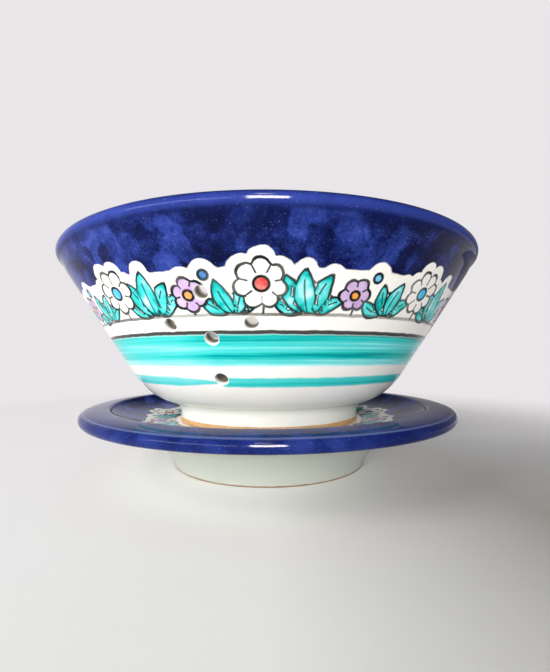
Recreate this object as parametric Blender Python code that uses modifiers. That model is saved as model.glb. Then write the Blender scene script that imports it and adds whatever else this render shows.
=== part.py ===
"""A draining fruit bowl of glazed earthenware, standing loose on its own drip plate.

Two turned pieces. The bowl has groups of drain holes through its wall and floor, and lifts straight
off the plate. Metres, +Z up, origin on the table under the middle of the plate's foot ring. -Y is the front.
"""

import math

import bmesh
import bpy
from mathutils import Matrix, Vector

# Bowl, heights measured from the underside of its foot ring
BOWL_RIM_RADIUS = 0.120
BOWL_HEIGHT = 0.094
BOWL_RIM_BEAD = 0.0036
BOWL_WALL = 0.006
BOWL_BELLY_RADIUS = 0.0823
BOWL_BELLY_HEIGHT = 0.030
BOWL_BELLY_DROP = 0.0035
BOWL_INSIDE_BELLY_HEIGHT = 0.050
BOWL_FLOOR = 0.007
BOWL_FLOOR_RADIUS = 0.022
BOWL_FOOT_RADIUS = 0.0545
BOWL_FOOT_HEIGHT = 0.012
BOWL_FOOT_FILLET = 0.005
BOWL_FOOT_WIDTH = 0.009
BOWL_FOOT_RECESS = 0.004

# Drain holes: like groups round the wall, each a cross of five, and a ring round one hole in the floor
DRAIN_DIAMETER = 0.0057
DRAIN_GROUPS = 3
DRAIN_FIRST_GROUP = math.radians(-14.6)
DRAIN_TOP_HEIGHT = 0.0619
DRAIN_ARM_HEIGHT = 0.0506
DRAIN_CENTRE_HEIGHT = 0.0449
DRAIN_BOTTOM_HEIGHT = 0.0278
DRAIN_ARM_ANGLE = math.radians(10.6)
FLOOR_DRAINS = 6
FLOOR_DRAIN_CIRCLE = 0.018

# Drip plate, heights measured from the table
PLATE_RADIUS = 0.1084
PLATE_HEIGHT = 0.035
PLATE_LIP = 0.0031
PLATE_RIM_WIDTH = 0.0155
PLATE_RIM_ROUND = 0.002
PLATE_WELL_DEPTH = 0.010
PLATE_WELL_STEEPNESS = 0.75
PLATE_FLOOR = 0.006
PLATE_FOOT_RADIUS = 0.0584
PLATE_FOOT_WIDTH = 0.007
PLATE_FOOT_FLARE = 0.0076
PLATE_UNDER_DROP = 0.006

# Fits and small edges
SEAT_GAP = 0.0003
SEAT_MARGIN = 0.0035
EDGE_ROUND = 0.0008
CUT_OVERRUN = 0.004

# Facets
TURN_STEPS = 64
DRAIN_SIDES = 14
CURVE_POINTS = 6
BEAD_POINTS = 8
ROUND_POINTS = 3

PLATE_FLOOR_TOP = PLATE_HEIGHT - PLATE_WELL_DEPTH
PLATE_FLOOR_RADIUS = BOWL_FOOT_RADIUS + SEAT_MARGIN
BOWL_SEAT = PLATE_FLOOR_TOP + SEAT_GAP
BOWL_FLOOR_TOP = BOWL_FOOT_RECESS + BOWL_FLOOR


def clear_scene():
    for old in list(bpy.data.objects):
        bpy.data.objects.remove(old, do_unlink=True)


def collection(name):
    group = bpy.data.collections.new(name)
    bpy.context.scene.collection.children.link(group)
    return group


def glaze(name, colour, roughness):
    material = bpy.data.materials.new(name)
    material.use_nodes = True
    shader = material.node_tree.nodes["Principled BSDF"]
    shader.inputs["Base Color"].default_value = (*colour, 1.0)
    shader.inputs["Roughness"].default_value = roughness
    shader.inputs["Metallic"].default_value = 0.0
    return material


def on_curve(start, control, end, t):
    """A point of the quadratic curve that leaves start and reaches end along the control's lines."""
    return start * (1 - t) ** 2 + control * (2 * t * (1 - t)) + end * t**2


def curve(start, control, end, count):
    """Evenly stepped points of such a curve, without its start."""
    return [on_curve(start, control, end, (i + 1) / count) for i in range(count)]


def arc(centre, radius, first, last, count):
    turns = [first + (last - first) * i / (count - 1) for i in range(count)]
    return [centre + Vector((math.cos(turn), math.sin(turn))) * radius for turn in turns]


def turned(name, profile, material, group):
    """A solid turned about Z. Its profile runs from the top of the floor, over the rim, to the underside."""
    mesh = bpy.data.meshes.new(name)
    points = [(point.x, 0.0, point.y) for point in profile]
    mesh.from_pydata(points, [(i, i + 1) for i in range(len(points) - 1)], [])
    mesh.materials.append(material)
    piece = bpy.data.objects.new(name, mesh)
    group.objects.link(piece)
    screw = piece.modifiers.new("turn", "SCREW")
    screw.axis = "Z"
    screw.steps = TURN_STEPS
    screw.render_steps = TURN_STEPS
    screw.use_merge_vertices = True
    screw.merge_threshold = 0.00005
    screw.use_smooth_shade = True
    return piece


# The bowl's outer lines: a straight flaring wall under a rolled rim, and a belly that tucks in to the foot
RIM_CREASE_TURN = math.radians(-50)
BEAD_CENTRE = Vector((BOWL_RIM_RADIUS - BOWL_RIM_BEAD, BOWL_HEIGHT - BOWL_RIM_BEAD))
RIM_CREASE = BEAD_CENTRE + Vector((math.cos(RIM_CREASE_TURN), math.sin(RIM_CREASE_TURN))) * BOWL_RIM_BEAD
BELLY = Vector((BOWL_BELLY_RADIUS, BOWL_BELLY_HEIGHT))
WALL_ALONG = (RIM_CREASE - BELLY).normalized()
FOOT_TOP = Vector((BOWL_FOOT_RADIUS + BOWL_FOOT_FILLET, BOWL_FOOT_HEIGHT))


def on_wall_line(start, height):
    """The point at a height on a line through start that runs with the straight wall."""
    return start + WALL_ALONG * ((height - start.y) / WALL_ALONG.y)


BELLY_CONTROL = on_wall_line(BELLY, BOWL_FOOT_HEIGHT + BOWL_BELLY_DROP)


def wall_at(height):
    """The outer wall's point and outward normal at a height."""
    if height >= BELLY.y:
        point = on_wall_line(BELLY, height)
        along = WALL_ALONG
    else:
        slope = BELLY_CONTROL.y - FOOT_TOP.y
        bend = BELLY.y - BELLY_CONTROL.y - slope
        t = (math.sqrt(slope**2 + bend * (height - FOOT_TOP.y)) - slope) / bend
        point = on_curve(FOOT_TOP, BELLY_CONTROL, BELLY, t)
        along = ((BELLY_CONTROL - FOOT_TOP) * (1 - t) + (BELLY - BELLY_CONTROL) * t).normalized()
    return point, Vector((along.y, -along.x))


def bowl_profile():
    inward = Vector((-WALL_ALONG.y, WALL_ALONG.x))
    inner_belly = on_wall_line(BELLY + inward * BOWL_WALL, BOWL_INSIDE_BELLY_HEIGHT)
    floor_edge = Vector((BOWL_FLOOR_RADIUS, BOWL_FLOOR_TOP))
    floor_control = on_wall_line(inner_belly, BOWL_FLOOR_TOP)

    # The inner wall runs straight from the belly until it touches the rolled rim
    reach = BEAD_CENTRE - inner_belly
    rise = math.atan2(reach.y, reach.x) + math.asin(BOWL_RIM_BEAD / reach.length)
    bead_start = rise + math.pi / 2

    foot_corner = Vector((BOWL_FOOT_RADIUS, BOWL_FOOT_HEIGHT))
    foot_side = Vector((BOWL_FOOT_RADIUS, BOWL_FOOT_HEIGHT - BOWL_FOOT_FILLET))
    foot_inner = BOWL_FOOT_RADIUS - BOWL_FOOT_WIDTH
    return [
        Vector((0, BOWL_FLOOR_TOP)),
        floor_edge,
        *curve(floor_edge, floor_control, inner_belly, CURVE_POINTS),
        *arc(BEAD_CENTRE, BOWL_RIM_BEAD, bead_start, RIM_CREASE_TURN, BEAD_POINTS),
        BELLY,
        *curve(BELLY, BELLY_CONTROL, FOOT_TOP, CURVE_POINTS),
        *curve(FOOT_TOP, foot_corner, foot_side, ROUND_POINTS),
        Vector((BOWL_FOOT_RADIUS, EDGE_ROUND)),
        Vector((BOWL_FOOT_RADIUS - EDGE_ROUND, 0)),
        Vector((foot_inner, 0)),
        Vector((foot_inner, BOWL_FOOT_RECESS)),
        Vector((0, BOWL_FOOT_RECESS)),
    ]


def plate_profile():
    rim_edge = PLATE_RADIUS - PLATE_RIM_WIDTH
    floor_edge = Vector((PLATE_FLOOR_RADIUS, PLATE_FLOOR_TOP))
    well_top = Vector((rim_edge, PLATE_HEIGHT - PLATE_RIM_ROUND))
    well_reach = (rim_edge - PLATE_FLOOR_RADIUS) * PLATE_WELL_STEEPNESS
    well_control = Vector((PLATE_FLOOR_RADIUS + well_reach, PLATE_FLOOR_TOP))
    rim_corner = Vector((rim_edge, PLATE_HEIGHT))
    rim_start = Vector((rim_edge + PLATE_RIM_ROUND, PLATE_HEIGHT))
    lip_centre = Vector((PLATE_RADIUS - PLATE_LIP, PLATE_HEIGHT - PLATE_LIP))
    lip_under = lip_centre - Vector((0, PLATE_LIP))
    under_control = Vector((PLATE_FOOT_RADIUS + PLATE_FOOT_FLARE, lip_under.y - PLATE_UNDER_DROP))
    foot_side = Vector((PLATE_FOOT_RADIUS, EDGE_ROUND))
    foot_inner = PLATE_FOOT_RADIUS - PLATE_FOOT_WIDTH
    recess_top = PLATE_FLOOR_TOP - PLATE_FLOOR
    return [
        Vector((0, PLATE_FLOOR_TOP)),
        floor_edge,
        *curve(floor_edge, well_control, well_top, CURVE_POINTS),
        *curve(well_top, rim_corner, rim_start, ROUND_POINTS),
        *arc(lip_centre, PLATE_LIP, math.pi / 2, -math.pi / 2, BEAD_POINTS),
        *curve(lip_under, under_control, foot_side, CURVE_POINTS),
        Vector((PLATE_FOOT_RADIUS - EDGE_ROUND, 0)),
        Vector((foot_inner, 0)),
        Vector((foot_inner, recess_top)),
        Vector((0, recess_top)),
    ]


def drill(name, place, group, bowl):
    """One round cutter, longer than the clay that it passes through, at a place given on the bowl."""
    mesh = bpy.data.meshes.new(name)
    tool = bmesh.new()
    radius = DRAIN_DIAMETER / 2
    depth = 2 * (BOWL_WALL + BOWL_FLOOR + CUT_OVERRUN)
    bmesh.ops.create_cone(
        tool, cap_ends=True, segments=DRAIN_SIDES, radius1=radius, radius2=radius, depth=depth, matrix=place
    )
    tool.to_mesh(mesh)
    tool.free()
    cutter = bpy.data.objects.new(name, mesh)
    group.objects.link(cutter)
    cutter.parent = bowl
    cutter.hide_render = True
    cutter.display_type = "WIRE"


def wall_place(azimuth, height):
    """A place on the wall whose Z axis is the wall's normal. Azimuth 0 is the front."""
    point, normal = wall_at(height)
    turn = Matrix.Rotation(azimuth - math.pi / 2, 4, "Z")
    tip = Vector((normal.x, 0, normal.y)).to_track_quat("Z", "Y").to_matrix().to_4x4()
    return turn @ Matrix.Translation((point.x, 0, point.y)) @ tip


def drill_drains(bowl, group):
    cross = [
        ("top", 0.0, DRAIN_TOP_HEIGHT),
        ("left", -DRAIN_ARM_ANGLE, DRAIN_ARM_HEIGHT),
        ("right", DRAIN_ARM_ANGLE, DRAIN_ARM_HEIGHT),
        ("centre", 0.0, DRAIN_CENTRE_HEIGHT),
        ("bottom", 0.0, DRAIN_BOTTOM_HEIGHT),
    ]
    for number in range(DRAIN_GROUPS):
        middle = DRAIN_FIRST_GROUP + 2 * math.pi * number / DRAIN_GROUPS
        for name, turn, height in cross:
            drill(f"drain_{number + 1}_{name}", wall_place(middle + turn, height), group, bowl)

    floor_middle = Matrix.Translation((0, 0, BOWL_FOOT_RECESS + BOWL_FLOOR / 2))
    drill("floor_drain_centre", floor_middle, group, bowl)
    for number in range(FLOOR_DRAINS):
        turn = Matrix.Rotation(2 * math.pi * number / FLOOR_DRAINS, 4, "Z")
        out = Matrix.Translation((FLOOR_DRAIN_CIRCLE, 0, 0))
        drill(f"floor_drain_{number + 1}", turn @ floor_middle @ out, group, bowl)

    cut = bowl.modifiers.new("drains", "BOOLEAN")
    cut.operation = "DIFFERENCE"
    cut.solver = "EXACT"
    cut.operand_type = "COLLECTION"
    cut.collection = group


def build():
    clear_scene()
    pieces = collection("fruit_bowl")
    cutters = collection("drain_cutters")
    plate = turned("drip_plate", plate_profile(), glaze("cobalt_glaze", (0.03, 0.04, 0.30), 0.15), pieces)
    bowl = turned("bowl", bowl_profile(), glaze("white_glaze", (0.88, 0.88, 0.85), 0.12), pieces)
    bowl.parent = plate
    bowl.location = (0, 0, BOWL_SEAT)
    drill_drains(bowl, cutters)


build()
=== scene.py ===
"""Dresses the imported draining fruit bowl: painted tin-glazed earthenware on its own drip plate."""

import math
from functools import partial

import bpy
import numpy as np
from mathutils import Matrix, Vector


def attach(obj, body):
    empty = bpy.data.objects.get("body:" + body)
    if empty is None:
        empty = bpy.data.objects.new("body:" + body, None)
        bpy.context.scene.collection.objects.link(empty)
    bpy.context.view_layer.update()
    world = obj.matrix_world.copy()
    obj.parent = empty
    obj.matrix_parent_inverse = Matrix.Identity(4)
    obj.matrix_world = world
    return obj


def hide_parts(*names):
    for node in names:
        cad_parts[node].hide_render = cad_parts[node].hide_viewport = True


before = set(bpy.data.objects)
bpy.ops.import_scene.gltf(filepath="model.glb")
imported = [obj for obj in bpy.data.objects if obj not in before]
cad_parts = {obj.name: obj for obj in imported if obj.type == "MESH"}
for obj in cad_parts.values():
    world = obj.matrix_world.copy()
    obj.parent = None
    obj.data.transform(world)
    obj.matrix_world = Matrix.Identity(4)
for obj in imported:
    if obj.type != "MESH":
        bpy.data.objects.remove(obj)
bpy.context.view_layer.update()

# Studio: a pale table top that runs without an edge into a bright sweep. A window behind the camera and one
# to the left light the pieces, and three more panes give only the glints along their rolled edges. The
# camera stands close and low, a little above the plate's rim.
FRAME_LONG_SIDE, FOCAL_PIXELS, SENSOR = 672, 370, 36.0
CAMERA_PLACE, CAMERA_NEAR = (0.0004, -0.2390, 0.0629), 0.01
CAMERA_TURNS = (90 + 3.15, 0.15, -0.81)
WINDOW_AIM, WINDOW_LIGHT = Vector((0, 0, 0.06)), "#FFFCF6"


def linear(hex_colour):
    """A linear RGBA colour from an sRGB hex value."""
    parts = [int(hex_colour[i : i + 2], 16) / 255 for i in (1, 3, 5)]
    return (*[c / 12.92 if c <= 0.04045 else ((c + 0.055) / 1.055) ** 2.4 for c in parts], 1.0)


def add(tree, kind, *inputs, out=0, named=None, stops=(), **settings):
    """Adds a node with its settings, fills its inputs in order and by name, and returns one output."""
    node = tree.nodes.new(kind if "Node" in kind else tree.bl_idname.removesuffix("Tree") + kind)
    for name, value in settings.items():
        setattr(node, name, value)
    for i, (at, colour) in enumerate(stops):
        stop = node.color_ramp.elements[i] if i < 2 else node.color_ramp.elements.new(at)
        stop.position, stop.color = at, colour
    filled = [(node.inputs[i], value) for i, value in enumerate(inputs) if value is not None]
    filled += [(node.inputs[name], value) for name, value in (named or {}).items()]
    for socket, value in filled:
        if isinstance(value, bpy.types.NodeSocket):
            tree.links.new(value, socket)
        else:
            socket.default_value = value
    return node.outputs[out]


scene = bpy.context.scene
scene.view_settings.view_transform = "Standard"

camera_data = bpy.data.cameras.new("camera")
camera_data.sensor_width = SENSOR
camera_data.lens = FOCAL_PIXELS * SENSOR / FRAME_LONG_SIDE
camera_data.clip_start = CAMERA_NEAR
camera = bpy.data.objects.new("camera", camera_data)
camera.location = CAMERA_PLACE
camera.rotation_euler = [math.radians(angle) for angle in CAMERA_TURNS]
scene.collection.objects.link(camera)
scene.camera = camera

# Each window: its name, place, width, height and power, and the kind of light that it gives the glaze
for name, spot, wide, tall, power, kind in (
    ("front_window", (-0.33, -1.07, 0.20), 0.60, 0.36, 12.2, "visible_diffuse"),
    ("front_window_glint", (-0.01, -1.15, 0.43), 0.38, 0.54, 72.0, "visible_glossy"),
    ("left_window_glint", (-0.85, -0.95, 0.45), 1.20, 0.26, 9.0, "visible_glossy"),
    ("ceiling_glint", (-0.04, -0.72, 1.02), 0.16, 0.10, 4.0, "visible_glossy"),
    ("left_window", (-0.80, -0.45, 0.55), 0.50, 0.50, 6.0, "visible_diffuse"),
):
    lamp = bpy.data.lights.new(name, "AREA")
    lamp.shape = "RECTANGLE"
    lamp.size, lamp.size_y, lamp.energy = wide, tall, power
    lamp.color = linear(WINDOW_LIGHT)[:3]
    window = bpy.data.objects.new(name, lamp)
    window.location = spot
    window.rotation_euler = (WINDOW_AIM - window.location).to_track_quat("-Z", "Y").to_euler()
    window.visible_camera = window.visible_diffuse = window.visible_glossy = False
    setattr(window, kind, True)
    scene.collection.objects.link(window)

# The sweep behind the table is what the glaze mirrors most. The room behind the camera is dimmer, and so is
# its ceiling, which leaves the inside of the bowl in shade. The glaze also mirrors a dim room on the right,
# away from the windows. The picture itself shows the sweep on every side.
BACKDROP, BACKDROP_GLOW = linear("#FFFBFE"), 0.82
ROOM_GLOW, ROOM_TO_SWEEP = 0.50, (-0.2, 0.5)
CEILING_SHADE, CEILING_SPAN = 0.15, (0.35, 0.75)
RIGHT_SHADE, RIGHT_SPAN = 0.30, (-0.1, 0.5)
world = bpy.data.worlds.new("studio")
world.use_nodes = True
tree = world.node_tree
towards = add(tree, "TexCoord", out="Generated")
rightward, behind, above = (add(tree, "SeparateXYZ", towards, out=axis) for axis in "XYZ")
glow = add(tree, "MapRange", behind, *ROOM_TO_SWEEP, ROOM_GLOW, BACKDROP_GLOW)
mirrored = add(tree, "MapRange", rightward, *RIGHT_SPAN, 0.0, 1.0 - RIGHT_SHADE)
mirrored = add(tree, "Math", mirrored, add(tree, "LightPath", out="Is Glossy Ray"), operation="MULTIPLY")
mirrored = add(tree, "Math", 1.0, mirrored, operation="SUBTRACT")
glow = add(tree, "Math", glow, mirrored, operation="MULTIPLY")
ceiling = add(tree, "MapRange", above, *CEILING_SPAN, 1.0, CEILING_SHADE)
glow = add(tree, "Math", glow, ceiling, operation="MULTIPLY")
seen = add(tree, "MapRange", add(tree, "LightPath", out="Is Camera Ray"), 0.0, 1.0, 0.0, BACKDROP_GLOW)
glow = add(tree, "Math", glow, seen, operation="MAXIMUM")
tree.nodes["Background"].inputs["Color"].default_value = BACKDROP
tree.links.new(glow, tree.nodes["Background"].inputs["Strength"])
scene.world = world

# Matt white laminate: the eye gets a soft white ground without shine, greyed to the right and front by
# painted shade, away from the windows, and lost in the sweep further out and, as painted light, to the left
TABLE_PALES, TABLE_PAINTED_SHADE, TABLE_ROUGHNESS = ("#F6F6F6", "#FAFAFA"), "#8C8880", 0.8
TABLE_CLOUDS_PER_METRE, TABLE_SIDES, TABLE_RADIUS = 6.0, 96, 3.0
PAINTED_SHADE_TO_RIGHT, PAINTED_SHADE_TO_FRONT, PAINTED_SHADE_MOST = (0.0, 0.11), (0.06, -0.09), 0.85
SWEEP_FROM_TO, SWEEP_LEAST, PAINTED_LIGHT_TO_LEFT, PAINTED_LIGHT_LEFT_MOST = (0.14, 0.50), 0.10, (-0.05, -0.14), 0.85
table_top = bpy.data.materials.new("matt_white_laminate")
table_top.use_nodes = True
tree = table_top.node_tree
shader = tree.nodes["Principled BSDF"]
place = add(tree, "TexCoord", out="Object")
cloud = add(tree, "TexNoise", place, named={"Scale": TABLE_CLOUDS_PER_METRE, "Detail": 2.0})
tone = add(tree, "MixRGB", cloud, *(linear(shade) for shade in TABLE_PALES))
aside, ahead = (add(tree, "SeparateXYZ", place, out=axis) for axis in "XY")
# Painted shade: the table greys towards the front right, away from the windows
shade_to_right = add(tree, "MapRange", aside, *PAINTED_SHADE_TO_RIGHT, 0.0, PAINTED_SHADE_MOST)
shade_to_front = add(tree, "MapRange", ahead, *PAINTED_SHADE_TO_FRONT, 0.0, 1.0)
shaded = add(tree, "Math", shade_to_right, shade_to_front, operation="MULTIPLY")
tone = add(tree, "MixRGB", shaded, tone, linear(TABLE_PAINTED_SHADE))
tree.links.new(tone, shader.inputs["Base Color"])
shader.inputs["Roughness"].default_value = TABLE_ROUGHNESS
shader.inputs["Specular IOR Level"].default_value = 0.0
sweep = add(tree, "Emission", BACKDROP, BACKDROP_GLOW)
away = add(tree, "VectorMath", place, operation="LENGTH", out="Value")
fade = add(tree, "MapRange", away, *SWEEP_FROM_TO, SWEEP_LEAST, 1.0, interpolation_type="SMOOTHSTEP")
# Painted light: the table glows paler towards the left, on the windows' side
painted_light_left = add(tree, "MapRange", aside, *PAINTED_LIGHT_TO_LEFT, 0.0, PAINTED_LIGHT_LEFT_MOST)
fade = add(tree, "Math", fade, painted_light_left, operation="MAXIMUM")
surface = add(tree, "MixShader", fade, shader.outputs["BSDF"], sweep)
tree.links.new(surface, tree.nodes["Material Output"].inputs["Surface"])
bpy.ops.mesh.primitive_circle_add(vertices=TABLE_SIDES, radius=TABLE_RADIUS, fill_type="NGON")
floor = bpy.context.object
floor.name = "floor"
floor.data.materials.append(table_top)

# Drip plate: a shallow saucer of thrown earthenware, dipped in white tin glaze, painted by hand and
# fired standing on its bare foot ring. Cobalt covers its broad rim, which is crowned and rolls over to the
# lip, and a garland of blossoms and leaves runs round the lower part of the well.
MM = 0.001
PLATE_RADIUS, PLATE_HEIGHT, PLATE_LIP = 108.4, 35.0, 3.1
PLATE_RIM_EDGE, PLATE_RIM_ROUND, PLATE_RIM_CROWN = 92.9, 2.0, 102.5
PLATE_RIM_FALL, PLATE_LIP_TUCK = math.radians(18), math.radians(-56)
PLATE_FLOOR_RADIUS, PLATE_FLOOR_TOP, PLATE_FLOOR = 58.0, 25.0, 6.0
PLATE_WELL_REACH = 26.2
PLATE_FOOT_RADIUS, PLATE_FOOT_WIDTH, PLATE_FOOT_FLARE, PLATE_UNDER_DROP = 58.4, 7.0, 7.6, 6.0
PLATE_RECESS_FILLET, EDGE_ROUND = 2.0, 0.8
PLATE_STEPS, WHEEL_RADIUS, WHEEL_WELD = 448, 50.0, 0.01
PLATE_SEED, PLATE_REPEATS, PLATE_MOTIF_SCALE = 7, 7, 0.85
PLATE_COBALT_RISE, PLATE_COBALT_MARGIN, PLATE_COBALT_UNDER = 17.0, 3.4, 1.0
PLATE_EDGE_BREAK_AND_HIGHLIGHT, PLATE_SHADED_EVEN_BLUE, PLATE_EVEN_RUN, PLATE_SHADE_RUN = 0.4, 0.5, 6.0, 2.0
THROWN_OVAL, THROWN_DIP = 0.0000120, 0.0020
FAR = 99.0


def bend(start, corner, end, count=24):
    """Points of the curve that leaves start and reaches end along the two lines through the corner."""
    t = np.linspace(0, 1, count)[:, None]
    return np.array(start) * (1 - t) ** 2 + np.array(corner) * 2 * t * (1 - t) + np.array(end) * t**2


def roll(centre, radius, first, last, count=24):
    """Points of an arc, with its angles in radians."""
    turn = np.linspace(first, last, count)
    return np.array(centre) + radius * np.stack([np.cos(turn), np.sin(turn)], axis=1)


def spaced(points, step):
    """The same line with points about a step apart, without its last point."""
    points = np.array(points, float)
    run = np.concatenate([[0], np.cumsum(np.linalg.norm(np.diff(points, axis=0), axis=1))])
    marks = np.linspace(0, run[-1], max(1, round(run[-1] / step)) + 1)[:-1]
    return np.stack([np.interp(marks, run, points[:, i]) for i in (0, 1)], axis=1)


def wheel_tree():
    """Turns a profile about Z, as clay is turned on a wheel."""
    tree = bpy.data.node_groups.new("potters_wheel", "GeometryNodeTree")
    for name, kind in (
        ("Profile", "NodeSocketObject"),
        ("Steps", "NodeSocketInt"),
        ("Wheel radius", "NodeSocketFloat"),
        ("Glaze", "NodeSocketMaterial"),
    ):
        tree.interface.new_socket(name, in_out="INPUT", socket_type=kind)
    tree.interface.new_socket("Geometry", in_out="OUTPUT", socket_type="NodeSocketGeometry")
    given = tree.nodes.new("NodeGroupInput").outputs
    profile = add(tree, "ObjectInfo", given["Profile"], out="Geometry")
    ring = add(
        tree, "CurvePrimitiveCircle", mode="RADIUS",
        named={"Resolution": given["Steps"], "Radius": given["Wheel radius"]},
    )
    ring = add(tree, "SetCurveNormal", ring, mode="Z_UP")
    clay = add(tree, "CurveToMesh", named={"Curve": ring, "Profile Curve": profile})
    clay = add(tree, "MergeByDistance", named={"Geometry": clay, "Distance": WHEEL_WELD * MM})
    clay = add(tree, "SetShadeSmooth", named={"Geometry": clay, "Shade Smooth": True})
    clay = add(tree, "RealizeInstances", clay)
    clay = add(tree, "SetMaterial", named={"Geometry": clay, "Material": given["Glaze"]})
    tree.links.new(clay, tree.nodes.new("NodeGroupOutput").inputs[0])
    return tree


def made_by(tree, name, start, **inputs):
    """The plain mesh object that a tree makes from a start mesh, with its inputs given by name."""
    carrier = bpy.data.objects.new(name + "_carrier", start)
    scene.collection.objects.link(carrier)
    modifier = carrier.modifiers.new("make", "NODES")
    modifier.node_group = tree
    for item in tree.interface.items_tree:
        if item.in_out == "INPUT" and item.name in inputs:
            modifier[item.identifier] = inputs[item.name]
    view = bpy.context.evaluated_depsgraph_get()
    mesh = bpy.data.meshes.new_from_object(carrier.evaluated_get(view), depsgraph=view)
    mesh.name = name
    bpy.data.objects.remove(carrier)
    piece = bpy.data.objects.new(name, mesh)
    scene.collection.objects.link(piece)
    return piece


potters_wheel = wheel_tree()


def turned(name, profile, steps, material):
    """A closed form turned from a profile of radius and height in millimetres."""
    line = bpy.data.curves.new(name + "_profile", "CURVE")
    line.dimensions = "3D"
    spline = line.splines.new("POLY")
    spline.points.add(len(profile) - 1)
    for point, (radius, height) in zip(spline.points, profile):
        point.co = ((radius - WHEEL_RADIUS) * MM, -height * MM, 0, 1)
    guide = bpy.data.objects.new(name + "_profile", line)
    scene.collection.objects.link(guide)
    piece = made_by(
        potters_wheel, name, bpy.data.meshes.new(name + "_start"),
        **{"Profile": guide, "Steps": steps, "Wheel radius": WHEEL_RADIUS * MM, "Glaze": material},
    )
    bpy.data.objects.remove(guide)
    return piece


def spots_of(mesh):
    """The places of a mesh's vertices, in metres."""
    spots = np.empty(len(mesh.vertices) * 3)
    mesh.vertices.foreach_get("co", spots)
    return spots.reshape(-1, 3)


def unrolled(mesh, profile):
    """Each vertex's turn from the front, and its radius and its run along the profile in millimetres."""
    x, y, z = spots_of(mesh).T / MM
    radius = np.hypot(x, y)
    starts, legs = profile[:-1], np.diff(profile, axis=0)
    lengths = np.linalg.norm(legs, axis=1)
    runs = np.concatenate([[0], np.cumsum(lengths)])[:-1]
    best, along = np.full(len(x), np.inf), np.zeros(len(x))
    for start, leg, length, run in zip(starts, legs, lengths, runs):
        off_r, off_z = radius - start[0], z - start[1]
        part = np.clip((off_r * leg[0] + off_z * leg[1]) / length**2, 0, 1)
        gap = np.hypot(off_r - part * leg[0], off_z - part * leg[1])
        nearer = gap < best
        best[nearer], along[nearer] = gap[nearer], (run + part * length)[nearer]
    return np.arctan2(x, -y), radius, along


def run_to(profile, spot):
    """How far along a profile its nearest corner to a spot lies."""
    corner = np.argmin(np.linalg.norm(profile - np.array(spot), axis=1))
    return np.linalg.norm(np.diff(profile[: corner + 1], axis=0), axis=1).sum()


def past_strip(along, start, end):
    """How far along the profile points lie outside a strip of it, below zero inside the strip."""
    return np.abs(along - (start + end) / 2) - (end - start) / 2


def waves(turn, counts, draw):
    """A closed wavering line from a few whole numbers of waves, between about -1 and 1."""
    phases = draw.uniform(0, 2 * np.pi, len(counts))
    return sum(np.sin(n * turn + phase) for n, phase in zip(counts, phases)) / len(counts) ** 0.5


def thrown(mesh, still_below, draw):
    """Gives a turned form the slight wavering of one thrown by hand, none below a height in millimetres."""
    spots = spots_of(mesh)
    turn = np.arctan2(spots[:, 0], -spots[:, 1])
    lift = np.clip(spots[:, 2] / MM - still_below, 0, None)
    spots[:, :2] *= (1 + THROWN_OVAL * lift * waves(turn, (2, 3), draw))[:, None]
    spots[:, 2] -= THROWN_DIP * MM * lift * (1 + waves(turn, (2, 3, 5), draw))
    mesh.vertices.foreach_set("co", spots.ravel())


# What the brush follows, kept on each piece: heights above the bowl's foot, the lap round the wheel and how
# full the brush is, distances to the garland's shapes, and where cobalt, bare clay, drains and shade lie
PAINT_MARKS = (
    "height", "lap", "fill", "flower", "petal", "heart", "leaf", "vein", "stem", "wash", "cobalt", "thin",
    "edge", "drain", "deep", "clay", "under",
)
BRUSH_TREMOR = {"height": 0.45, "flower": 1.0, "leaf": 1.0, "stem": 1.0, "drain": 0.5, "clay": 0.6}
BAND_LOW, BAND_HIGH = 33.4, 46.5
BAND_LOADS = (
    (0.0, 0.30), (1.0, 0.90), (0.16, 0.42), (0.25, 0.72), (0.37, 0.70), (0.47, 0.55), (0.70, 0.58),
    (0.84, 0.76),
)
STRIPE_HEIGHT, STRIPE_HALF, STRIPE_TIP_HALF, STRIPE_TAPER = 26.3, 2.1, 0.4, (0.955, 1.0)
BLACK_LINE_HEIGHT, BLACK_LINE_HALF, GREY_LINE_HEIGHT, GREY_LINE_HALF = 47.3, 0.76, 53.9, 0.62
BELOW_GREY_LINE = 50.5
INK_HALVES = {"flower": 0.68, "petal": 0.36, "heart": 0.58, "leaf": 0.55, "stem": 0.55, "vein": 0.32}
TEALS = (
    (0.0, "#E9FAF8"), (1.0, "#0A8F90"), (0.25, "#A9EFF0"), (0.5, "#5FD5D5"), (0.72, "#3ACBC8"),
    (0.88, "#16B5B2"),
)
COBALTS = ((0.38, "#040B34"), (0.68, "#4052A6"), (0.45, "#0B174E"), (0.505, "#182868"), (0.57, "#263886"))
EVEN_BLUES = ((0.0, "#0A1650"), (1.0, "#2B3C8C"), (0.5, "#13215F"))
COAT_SHARE, STROKE_SHARE, DAB_SHARE, SPECK_SHARE = 0.32, 0.48, 0.22, 0.16
SIDE_LIGHT_LEFT_TO_RIGHT, PAINTED_LIGHT_LEFT_PALER, PAINTED_SHADE_RIGHT_DARKER = (-0.05, 0.07), 0.025, -0.075
TREMOR_SWING = 1.6
# Each wash and line: how strongly its pattern varies it, and what is added to that
LINE_PRESS, LINE_FADING, BAND_STREAK, STRIPE_STREAK = (0.5, 0.70), (1.6, -0.15), (1.3, -0.62), (0.8, 0.22)
LEAF_CLOUD, LEAF_POOL, LILAC_WASH, HEART_WASH = (2.0, -0.5), (0.25, 0.05), (0.7, 0.45), (0.6, 0.62)
PINHOLE_SPAN, PINHOLE_PALE = (0.71, 0.78), 0.40
BORE_SHADE_SPAN, BORE_PAINTED_SHADE = (0.9, 2.2), 0.9
GLAZE_IOR, GLAZE_SPECULAR, GLAZE_ROUGHNESS, CLAY_ROUGHER = 1.45, 0.12, 0.075, 0.70
RELIEF_STRENGTH, RELIEF_HEIGHT, GRIT_SHARE = 0.07, 1.0, 0.35
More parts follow.
